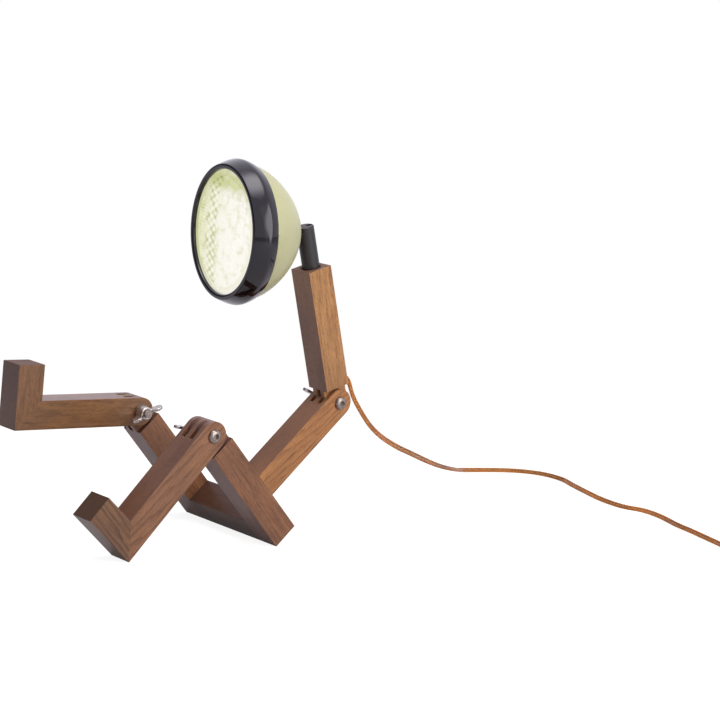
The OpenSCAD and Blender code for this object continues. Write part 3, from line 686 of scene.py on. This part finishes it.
def painted_sheen_faces(tree):
    """Picks the faces for a painted sheen: all but those square to the hinge bolts. On them the
    grain is calmed and a violet grey mixed in, a painted reflection of the room.
    """
    facing = add(tree, "SeparateXYZ", {0: add(tree, "TexCoord").outputs["Normal"]}).outputs["X"]
    side = add(tree, "Math", {0: facing}, operation="ABSOLUTE")
    return add(tree, "MapRange", {"Value": side, "From Min": 0.3, "From Max": 0.8,
                                  "To Min": 0.55, "To Max": 0.0})


print("pith beside the beam, mm:", PITH_MM, "or more, with its rings bent by", BEND_MM)

# %% [markdown]
# ## Pores, ends and edges
# Three things make the wood look real: pores that open as short dark lines, end grain
# that has drunk more oil, and a painted highlight that makes the edges paler, where an
# eased arris catches the light. Each gives one number that the colour is multiplied by, so
# they can be changed one at a time.

# %% Darken pores and end grain, paint highlights on the edges
PORE_ACROSS, PORE_ALONG = 0.7, 4
ARRIS_MM = 0.6


def pore_shade(tree, place):
    """Short dark pores. Real ones are 0.2 mm wide, and are drawn coarser so that they show."""
    drawn = add(tree, "Mapping", {"Vector": place, "Scale": (
        1 / PORE_ACROSS, 1 / PORE_ACROSS, 1 / PORE_ALONG)})
    pores = add(tree, "TexVoronoi", {"Vector": drawn, "Scale": 1.0}, feature="F1")
    return add(tree, "MapRange", {"Value": pores, "From Min": 0.1, "From Max": 0.3,
                                  "To Min": 0.5, "To Max": 1.0})


def end_shade(tree, axes):
    """The faces across the beam are darker, because end grain drinks more oil."""
    ends = add(tree, "VectorMath", {0: add(tree, "TexCoord").outputs["Normal"],
                                    1: axes.to_3x3() @ Vector((0, 0, 1))},
               operation="DOT_PRODUCT").outputs["Value"]
    ends = add(tree, "Math", {0: ends}, operation="ABSOLUTE")
    return add(tree, "MapRange", {"Value": ends, "From Min": 0.5, "From Max": 0.98,
                                  "To Min": 1.0, "To Max": 0.6})


def edge_highlight(tree, eased):
    """A painted highlight: the colour is paler where the eased normal leaves the face's own."""
    face = add(tree, "NewGeometry").outputs["True Normal"]
    turned = add(tree, "VectorMath", {0: eased, 1: face},
                 operation="DOT_PRODUCT").outputs["Value"]
    return add(tree, "MapRange", {"Value": turned, "From Min": 0.86, "From Max": 0.99,
                                  "To Min": 1.3, "To Max": 1.0})


print("pores, mm:", PORE_ACROSS, "by", PORE_ALONG, "- eased edges, mm:", ARRIS_MM)

# %% [markdown]
# ## The finished wood
# The tone of the grain picks the colour from three shades of one board. The pores and the
# ends darken it, the edges get a painted highlight, and the faces not square to the hinge
# bolts get a painted sheen, a violet grey that stands in for the room mirrored in the oil.
# The same tone sets the gloss, so that a dark streak is also a little duller, as in real
# wood. The relief is that of the pores and the fibres alone, because streaks and rings can
# be seen in planed wood but hardly felt.

# %% Put the walnut together
# painted sheen: a cool violet grey mixed into the faces not square to the hinge bolts, standing in
# for the room mirrored in the oil
PAINTED_SHEEN_GREY = "#7F7391"


def walnut(name, axes, tones, seed, ring_mm, figure, sheen_weight):
    """Oiled walnut. Tones go from pale to dark; the last argument sets how much painted sheen, a
    violet grey for the mirrored room, goes on the faces not square to the hinge bolts.
    """
    material = bpy.data.materials.new(name)
    tree = empty_tree(material)
    place = beam_place(tree, axes, seed)
    noises = grain_noises(tree, place)
    rings = growth_rings(tree, place, noises["bend"], seed, ring_mm)
    # the mask of the painted sheen: all faces but those square to the hinge bolts
    painted_sheen = painted_sheen_faces(tree)
    tone = grain_tone(tree, noises, rings, painted_sheen, figure)

    # colour: a shade of the board with a painted sheen of violet grey on most faces, darkened by
    # pores and end grain, and paler at the edges by a painted highlight
    pale, middle, dark = tones
    wood = add(tree, "ValToRGB", {"Fac": tone}, stops=[(0.38, dark), (0.47, middle), (0.59, pale)])
    painted_sheen_veil = add(tree, "Math", {0: painted_sheen, 1: sheen_weight}, operation="MULTIPLY")
    wood = add(tree, "Mix", {0: painted_sheen_veil, 6: wood, 7: linear(PAINTED_SHEEN_GREY)}, data_type="RGBA").outputs[2]
    pores, ends = pore_shade(tree, place), end_shade(tree, axes)
    patchy = add(tree, "MapRange", {"Value": noises["sway"], "From Min": 0.3, "From Max": 0.7,
                                    "To Min": 0.8, "To Max": 1.12})
    eased = add(tree, "Bevel", {"Radius": ARRIS_MM * MM}, samples=4)
    shade = pores
    for part in (patchy, edge_highlight(tree, eased), ends):
        shade = add(tree, "Math", {0: shade, 1: part}, operation="MULTIPLY")
    colour = add(tree, "VectorMath", {0: wood, "Scale": shade}, operation="SCALE")

    # gloss: pale wood takes a finer polish than dark, and the open ends of the fibres are matt
    sheen = add(tree, "MapRange", {"Value": tone, "From Min": 0.35, "From Max": 0.65,
                                   "To Min": 0.4, "To Max": 0.26})
    matt = add(tree, "MapRange", {"Value": ends, "From Min": 0.6, "From Max": 0.9,
                                  "To Min": 0.65, "To Max": 0.0})
    rough = add(tree, "Math", {0: sheen, 1: matt}, operation="MAXIMUM")

    # surface: pores are sunk and fibres stand proud, by a tenth of a millimetre or so
    height = add(tree, "Mix", {0: 0.4, 2: pores, 3: noises["fibres"]})
    bump = add(tree, "Bump", {"Height": height, "Strength": 0.4, "Distance": 0.15 * MM,
                              "Normal": eased})
    shader = add(tree, "BsdfPrincipled", {"Base Color": colour, "Roughness": rough,
                                          "Normal": bump, "IOR": 1.5})
    add(tree, "OutputMaterial", {"Surface": shader})
    return material


# %% [markdown]
# ## The nine beams
# No two beams are cut from the same board, so each has its own tones, ring spacing and
# strength of figure. The torso's are golden and the thighs' redder, and the left foot has
# the boldest stripes. The crosspiece's tones are darkened as painted shade, for its inner
# faces in the U of the legs, and the left foot's partly as painted shade near the table.

# %% Dress the nine beams
RED = ("#9E6B47", "#835436", "#623E29")
WARM = ("#A6734F", "#8B5D3F", "#68442F")
# the left foot's tones: its board's own dark stripes, darkened further as painted shade near the
# table
DEEP_AND_SHADED = ("#8A6041", "#68472D", "#442D1C")
# the crosspiece's tones: darkened as painted shade, for its inner faces in the U of the legs
SHADED_DARK = ("#7C5236", "#64402A", "#4A2F1F")
BROWN = ("#9A6B44", "#815834", "#614029")
GOLD = ("#D39B62", "#B8814E", "#865534")
TAN = ("#C98B53", "#AE7343", "#7B4A2C")
LEFT_SHIN, RIGHT_SHIN = shin_axes(LEFT_SIDE, LEFT_SLOPE), shin_axes(RIGHT_SIDE, RIGHT_SLOPE)
# each beam's axes, its tones, the spacing of its rings in mm, its figure and the strength of its
# painted sheen
BEAMS = {
    "hip_crosspiece": (HIP @ ALONG_X, SHADED_DARK, 3.0, 0.4, 0.05),
    "thigh_left": (HIP, RED, 3.0, 0.4, 0.2),
    "thigh_right": (HIP, RED, 3.0, 0.4, 0.1),
    "lower_torso": (HIP @ ALONG_Y, TAN, 2.6, 0.6, 0.1),
    "shin_left": (LEFT_SHIN, WARM, 2.5, 0.65, 0.12),
    "shin_right": (RIGHT_SHIN, BROWN, 3.2, 0.4, 0.3),
    "foot_left": (LEFT_SHIN @ ALONG_Y, DEEP_AND_SHADED, 1.9, 0.75, 0.0),
    "foot_right": (RIGHT_SHIN @ ALONG_Y, BROWN, 3.2, 0.4, 0.3),
    "upper_torso": (TORSO, GOLD, 3.2, 0.35, 0.5)}
for seed, (beam, (axes, tones, ring_mm, figure, sheen_weight)) in enumerate(BEAMS.items(), 1):
    wear(walnut("oiled_walnut_" + beam, axes, tones, seed, ring_mm, figure, sheen_weight), beam)


# %% [markdown]
# ## Steel, zinc, brass and beech
# The hardware is plain: machine screws, washers and cast wing nuts. What tells one grey
# metal from another is its tint and how sharply it mirrors the room, and both come from
# the way it was finished. The metals here share one recipe with their own numbers, and
# keep the shader's own IOR.

# %% Make the finishes of the hardware
# Nickel plate over steel is warm grey, and worn to a soft gloss with faint dull spots.
nickel = speckled("nickel_plated_steel", "#A0968E", "#827971", 1.5, (0.22, 0.34), 0.03,
                  Metallic=1.0)
# Zinc cast in a die is paler, and its skin keeps the fine grain of the mould.
zinc = speckled("cast_zinc", "#C8BFB9", "#B0A8A2", 0.6, (0.22, 0.34), 0.06, Metallic=1.0)
# Black oxide is grown on steel in a hot bath. It is a thin dull coat that hides the metal,
# so it isn't metallic: almost black, with a wide soft highlight.
oxide = speckled("black_oxide_steel", "#2D2A29", "#242121", 1.2, (0.36, 0.48), 0.02)
# The plug's pins are drawn brass with bright nickel on it.
brass = speckled("nickel_plated_brass", "#C9C3B6", "#B4AE9F", 1.0, (0.16, 0.28), 0.02,
                 Metallic=1.0)
# Beech dowels are turned and left bare: pale, dry and flecked.
beech = speckled("turned_beech_dowel", "#D9B98A", "#B98F5E", 1.4, (0.5, 0.65), 0.1)
wear(nickel, "waist_bolt", "knee_bolt_left", "knee_bolt_right", "waist_washer",
     "knee_washer_left", "knee_washer_right", "tilt_pin", "clevis_nut")
wear(oxide, "neck_post", "neck_tongue", "head_clevis")
wear(rubber, "neck_bush", "cord_grommet", "lens_gasket", "switch_sleeves", "plug_sleeve")
wear(abs_black, "switch_base", "switch_cover")
wear(abs_grey, "switch_rocker")
wear(brass, "plug_pins")
wear(beech, "hip_dowels", "foot_dowels_left", "foot_dowels_right")

# %% [markdown]
# ## Round pieces
# Hubs, rings, shells and lenses are turned: a profile of (radius, height) points goes
# round an axis. Blender's Screw modifier does the same, but only about an axis of the
# object. Turning in bmesh puts each piece straight into the place that the CAD model
# gives, however the head is tilted.

# %% Turn a profile
def lathe(mesh, profile, axes, steps, closed=True):
    """Turns (radius, height) points about the Z of axes, in mm; closed joins the two ends."""
    rings = []
    for radius, height in profile:
        # on the axis one vertex serves all the steps, and the faces there have three corners
        if radius == 0:
            rings.append([mesh.verts.new(axes @ (Vector((0, 0, height)) * MM))] * steps)
        else:
            rings.append([mesh.verts.new(axes @ (Vector((
                radius * math.cos(2 * math.pi * k / steps),
                radius * math.sin(2 * math.pi * k / steps), height)) * MM)) for k in range(steps)])
    pairs = list(zip(rings, rings[1:])) + ([(rings[-1], rings[0])] if closed else [])
    for low, high in pairs:
        for k in range(steps):
            corners = []
            for vert in (low[k], low[(k + 1) % steps], high[(k + 1) % steps], high[k]):
                if vert not in corners:
                    corners.append(vert)
            mesh.faces.new(corners).smooth = True


# %% [markdown]
# ## Wing nuts
# A cast wing nut is one lump: two ears flow into a tapered hub. Modelling those fillets by
# hand is slow. Instead the hub and the ears are made as plain closed solids that overlap,
# a fine voxel remesh melts them together, and a few rounds of smoothing leave the soft
# inner corners of a casting.

# %% Cast a wing nut
HUB = [(3.05, 0), (6.1, 0), (6.1, 0.8), (4.9, 7.2), (3.05, 7.2)]
# an ear's outline: height on the hub and distance from its axis
EAR = [(7.6 + 3.6 * math.cos(math.radians(a)), 9.7 + 4.2 * math.sin(math.radians(a)))
       for a in range(-60, 181, 20)] + [(1.2, 4.0), (1.6, 3.4), (6.4, 3.4)]
# half an ear's thickness, and the grain of the remesh that melts the nut together
EAR_HALF, VOXEL = 1.15, 0.34


def wing_nut(name, node_name, body, seat, way, angle):
    """A nut on its seat, growing along X by way, with its ears at an angle about X."""
    axes = Matrix.Translation(Vector(seat) * MM) @ Matrix.Scale(way, 4, (1, 0, 0)) \
        @ turn_x(angle) @ Matrix.Rotation(math.radians(90), 4, "Y")
    mesh = bmesh.new()
    lathe(mesh, HUB, axes, 48)
    for side in (1, -1):
        front, rear = [[mesh.verts.new(axes @ (Vector((half, side * out, height)) * MM))
                        for height, out in EAR] for half in (EAR_HALF, -EAR_HALF)]
        mesh.faces.new(front)
        mesh.faces.new(rear[::-1])
        for k in range(len(EAR)):
            mesh.faces.new((front[k - 1], front[k], rear[k], rear[k - 1]))
    piece = new_piece(name, mesh, zinc)
    melt = piece.modifiers.new("melt", "REMESH")
    melt.mode, melt.voxel_size = "VOXEL", VOXEL * MM
    soften = piece.modifiers.new("soften", "SMOOTH")
    soften.factor, soften.iterations = 0.5, 4
    bake_modifiers(piece)
    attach(piece, body)
    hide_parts(node_name)
    print(name, "faces:", len(piece.data.polygons))


# %% Fit the three wing nuts
KNEE_SEAT, WAIST_SEAT = 35.3, -12.7
knee, waist = KNEE / MM, WAIST / MM
wing_nut("cast_wing_nut_left", "wing_nut_left", "left_wing_nut",
         (KNEE_SEAT, knee.y, knee.z), -1, 172)
wing_nut("cast_wing_nut_right", "wing_nut_right", "right_wing_nut",
         (-KNEE_SEAT, knee.y, knee.z), 1, 24)
wing_nut("cast_wing_nut_waist", "wing_nut_waist", "waist_wing_nut",
         (WAIST_SEAT, waist.y, waist.z), -1, 153)


# %% [markdown]
# ## The headlamp's ring
# The ring is pressed from sheet steel and enamelled: its front is a flat band, and its
# flank a long curve that rolls in behind. Gloss black shows its shape only by what it
# mirrors, so the outline has to be smooth. Short curves are drawn through a few points of
# it and turned in many steps.

# %% Turn the ring
def flowing(points, per_span):
    """A smooth outline of (radius, height) points through the ones given."""
    return [(p.x, p.y) for p in smooth([(r, z, 0) for r, z in points], per_span)]


# Enamel is fired on, glassy and even. Its highlights are sharp and nearly white, and a thin
# coat over the colour gives them their depth.
enamel = speckled("gloss_black_enamel", "#0E0C0F", "#0A080B", 2.5, (0.06, 0.09), 0.004,
                  edge_mm=0, IOR=1.48, Specular_Tint=linear("#EDE8F2"), Coat_Weight=0.35,
                  Coat_Roughness=0.04, Coat_IOR=1.5)
RING_FRONT = flowing([(48, -0.8), (48.5, 0.6), (49.6, 1.15), (51.4, 1.2), (52.3, 0.7)], 4)
RING_FLANK = flowing([(52.3, 0.7), (53.2, -1.2), (54.9, -5.4), (56, -8.8), (56.4, -10.8),
                      (56.2, -13), (55.2, -16), (54.2, -18.3), (53.6, -19.1), (52.9, -19)], 5)
RING_INSIDE = [(52.9, -16.5), (54.5, -12), (54.5, -9.5), (51.4, -1.6), (48, -1.6)]
mesh = bmesh.new()
lathe(mesh, RING_FRONT + RING_FLANK[1:] + RING_INSIDE, HEAD, 160)
ring = new_piece("enamelled_ring", mesh, enamel)
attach(ring, "head")
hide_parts("bezel")
print("ring faces:", len(ring.data.polygons))

# %% [markdown]
# ## The headlamp's shell
# The shell is spun: a steel disc is pressed over a turning former until it is a bell. Its
# outline is a superellipse, and it closes in a flat crown with a hole for the stud that
# holds the head. The CAD model has the same outline in coarser steps.

# %% Spin the shell
# Satin paint is sprayed: cream with a little green in it, and faintly dimpled, with a wide
# soft highlight.
paint = speckled("satin_cream_paint", "#D1CFA2", "#CBC999", 1.4, (0.33, 0.39), 0.02,
                 edge_mm=0, IOR=1.48)
BELL_R, BELL_START, BELL_DEPTH, BELL_POWER, SHEET = 52.7, 18.5, 46.3, 1.56, 1.2
CROWN_AT, BELL_STEPS, STUD_HOLE_R = 39, 30, 2.6
bell = [(BELL_R, -10.0), (BELL_R, -14.0), (BELL_R, -BELL_START)]
for n in range(1, BELL_STEPS + 1):
    depth = CROWN_AT * n / BELL_STEPS
    bell.append((BELL_R * (1 - (depth / BELL_DEPTH) ** BELL_POWER) ** (1 / BELL_POWER),
                 -BELL_START - depth))
crown = flowing([bell[-1], (12.5, -58.9), (8.5, -59.8), (4, -60)], 4)
outside = bell + crown[1:] + [(STUD_HOLE_R, -60)]
# the inside is one sheet thinner, and only the rim keeps its length
inside = [(r - SHEET, z + (SHEET if r < 50 else 0)) for r, z in outside[:-1]] \
    + [(STUD_HOLE_R, -60 + SHEET)]
mesh = bmesh.new()
lathe(mesh, outside + inside[::-1], HEAD, 144)
shell = new_piece("spun_shell", mesh, paint)
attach(shell, "head")
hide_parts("shell")
print("shell faces:", len(shell.data.polygons))

# %% [markdown]
# ## The prismatic lens
# The lens is pressed glass. Its back is moulded into zones of ribs and small pyramids that
# spread the light of the lamp behind it. Real prisms lit from behind take very many light
# paths to come clean. So the glass is drawn as a surface that glows by itself, with the
# prisms in its colour and its relief: fluted ribs on the left, rows of pyramids as bright
# dots beside them, and soft square pillows over the rest.

# %% Lay out the prisms
# Pressed glass is clear with rounded, glossy relief. Lit, it glows a warm white that turns
# greenish yellow towards the rim, where more glass is looked through.
glass = bpy.data.materials.new("pressed_prismatic_glass")
tree = empty_tree(glass)
local = add(tree, "Mapping", {"Vector": add(tree, "TexCoord").outputs["Object"],
                              "Location": HEAD.translation, "Rotation": HEAD.to_euler(),
                              "Scale": (MM,) * 3}, vector_type="TEXTURE")
across = add(tree, "SeparateXYZ", {0: local}).outputs
RIB_PITCH, CLOUD_MM = 2.6, 9
ribs = add(tree, "TexWave", {"Vector": local, "Scale": WAVE / RIB_PITCH}, wave_type="BANDS",
           bands_direction="Y").outputs["Fac"]
ribs = add(tree, "MapRange", {"Value": ribs, "To Min": 0.4, "To Max": 0.66})
cloud = add(tree, "TexNoise", {"Vector": local, "Scale": 1 / CLOUD_MM, "Detail": 4.0})
# the turn of each lattice in degrees, its two pitches in mm, and where its dots peak and end
LATTICES = {"pyramids": (45, 7.5, 4.5, 0.12, 0.6), "pillows": (0, 5.2, 4.4, 0.1, 0.75)}
dots = {}
for name, (turn, pitch_x, pitch_y, peak, foot) in LATTICES.items():
    placed = add(tree, "Mapping", {"Vector": local, "Rotation": (0, 0, math.radians(turn)),
                                   "Scale": (1 / pitch_x, 1 / pitch_y, 1)})
    lattice = add(tree, "TexVoronoi", {"Vector": placed, "Scale": 1.0, "Randomness": 0.0},
                  voronoi_dimensions="2D", feature="F1")
    dots[name] = add(tree, "MapRange", {"Value": lattice, "From Min": peak, "From Max": foot,
                                        "To Min": 1.0, "To Max": 0.0})
pillows = add(tree, "MapRange", {"Value": dots["pillows"], "To Min": 0.6, "To Max": 0.86})
print("prisms, pitch in mm: ribs", RIB_PITCH, {name: row[1:3] for name, row in LATTICES.items()})

# %% Join the zones and light the glass
in_pyramids = add(tree, "MapRange", {"Value": across["X"], "From Min": -27, "From Max": -24})
in_pillows = add(tree, "MapRange", {"Value": across["X"], "From Min": -9, "From Max": -4})
relief = add(tree, "Mix", {0: in_pyramids, 2: ribs, 3: dots["pyramids"]})
relief = add(tree, "Mix", {0: in_pillows, 2: relief, 3: pillows})
uneven = add(tree, "MapRange", {"Value": cloud, "From Min": 0.36, "From Max": 0.62})
bright = add(tree, "Mix", {0: 0.4, 2: relief, 3: uneven})
# the rim of the glass has no prisms, only a plain band that lightens outwards
flat = add(tree, "VectorMath", {0: local, 1: (1, 1, 0)}, operation="MULTIPLY")
radius = add(tree, "VectorMath", {0: flat}, operation="LENGTH").outputs["Value"]
at_rim = add(tree, "MapRange", {"Value": radius, "From Min": 42.6, "From Max": 43.0})
rim = add(tree, "MapRange", {"Value": radius, "From Min": 42.8, "From Max": 45.4,
                             "To Min": 0.46, "To Max": 0.62})
bright = add(tree, "Mix", {0: at_rim, 2: bright, 3: rim})
shade = add(tree, "ValToRGB", {"Fac": bright},
            stops=[(0.2, "#CDD0AC"), (0.45, "#EFF0DF"), (0.7, "#FFFFFF")])
# yellower towards the left edge, and with a ragged greenish cap at the top
rightward = add(tree, "MapRange", {"Value": across["X"], "From Min": -48, "From Max": 20})
warm = add(tree, "ValToRGB", {"Fac": rightward},
           stops=[(0.0, "#D9DDA4"), (0.2, "#EBECC6"), (0.5, "#F7F6E4"), (1.0, "#FCFAF0")])
ragged = add(tree, "Math", {0: cloud, 1: 26.0, 2: across["Y"]}, operation="MULTIPLY_ADD")
upward = add(tree, "MapRange", {"Value": ragged, "From Min": 44, "From Max": 60})
cap = add(tree, "ValToRGB", {"Fac": upward},
          stops=[(0.0, "#FFFFFF"), (0.35, "#DDE3B4"), (0.7, "#E4E8C2"), (1.0, "#F2F4DA")])
glow = warm
for part in (shade, cap):
    glow = add(tree, "Mix", {0: 1.0, 6: glow, 7: part}, data_type="RGBA",
               blend_type="MULTIPLY").outputs[2]
moulded = add(tree, "Bump", {"Height": relief, "Strength": 0.35, "Distance": 0.6 * MM})
shader = add(tree, "BsdfPrincipled", {
    "Base Color": glow, "Emission Color": glow, "Emission Strength": 0.78, "Roughness": 0.12,
    "IOR": 1.5, "Coat Weight": 0.6, "Coat Roughness": 0.04, "Normal": moulded})
add(tree, "OutputMaterial", {"Surface": shader})
print("lens material:", glass.name, "with", len(tree.nodes), "nodes")

# %% [markdown]
# ## The glass itself
# The lens is dished, like a watch glass, with a flat flange that the ring holds. It is
# turned as the ring and the shell are. Its profile starts and ends on the axis, where the
# faces close to a point.

# %% Press the lens
LENS_R, DISH, FRONT_AT, REAR_AT, SEAT_R = 48, 3.8, 2.4, -0.6, 50.2
front = [(r, FRONT_AT - DISH * (r / LENS_R) ** 2) for r in range(0, 47, 3)]
rear = [(r, REAR_AT - DISH * (r / LENS_R) ** 2) for r in range(42, -1, -6)]
flange = [(47.6, -1.75), (SEAT_R, -1.75), (SEAT_R, -4.4), (47, -4.4)]
mesh = bmesh.new()
lathe(mesh, front + flange + rear, HEAD, 144, closed=False)
lens = new_piece("pressed_lens", mesh, glass)
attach(lens, "head")
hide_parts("lens")
print("lens faces:", len(lens.data.polygons))

# %% [markdown]
# ## Inside the head
# Behind the lens are a reflector, a lamp holder and an LED bulb with two wires. They are
# seen only when the head is opened, but each has its finish all the same.

# %% Finish the inside of the head
# Aluminium vapour on a pressed bowl makes a mirror, slightly hazy.
silvered = speckled("vacuum_silvered_reflector", "#DEDEDE", "#D4D4D4", 3.0, (0.1, 0.18), 0.02,
                    Metallic=1.0)
# The holder is moulded in a white plastic that stands heat, with a satin shine.
holder_white = speckled("moulded_white_plastic", "#EDEBE4", "#E4E1D8", 2.0, (0.2, 0.3), 0.03)
# The bulb is etched inside, so it glows evenly and has no sharp highlight.
frosted = speckled("frosted_bulb_glass", "#FFF8E6", "#FFF2D8", 1.0, (0.45, 0.6), 0.02,
                   Emission_Color=linear("#FFF0D0"), Emission_Strength=1.5)
# PVC is extruded onto the two thin wires. It is red, satin and a little waxy.
wire_red = speckled("extruded_wire_pvc", "#B3382A", "#9C2E22", 1.0, (0.4, 0.5), 0.02)
wear(silvered, "reflector")
wear(holder_white, "lamp_holder")
wear(frosted, "led_bulb")
wear(wire_red, "head_wires")
wear(sheath, "torso_lead")
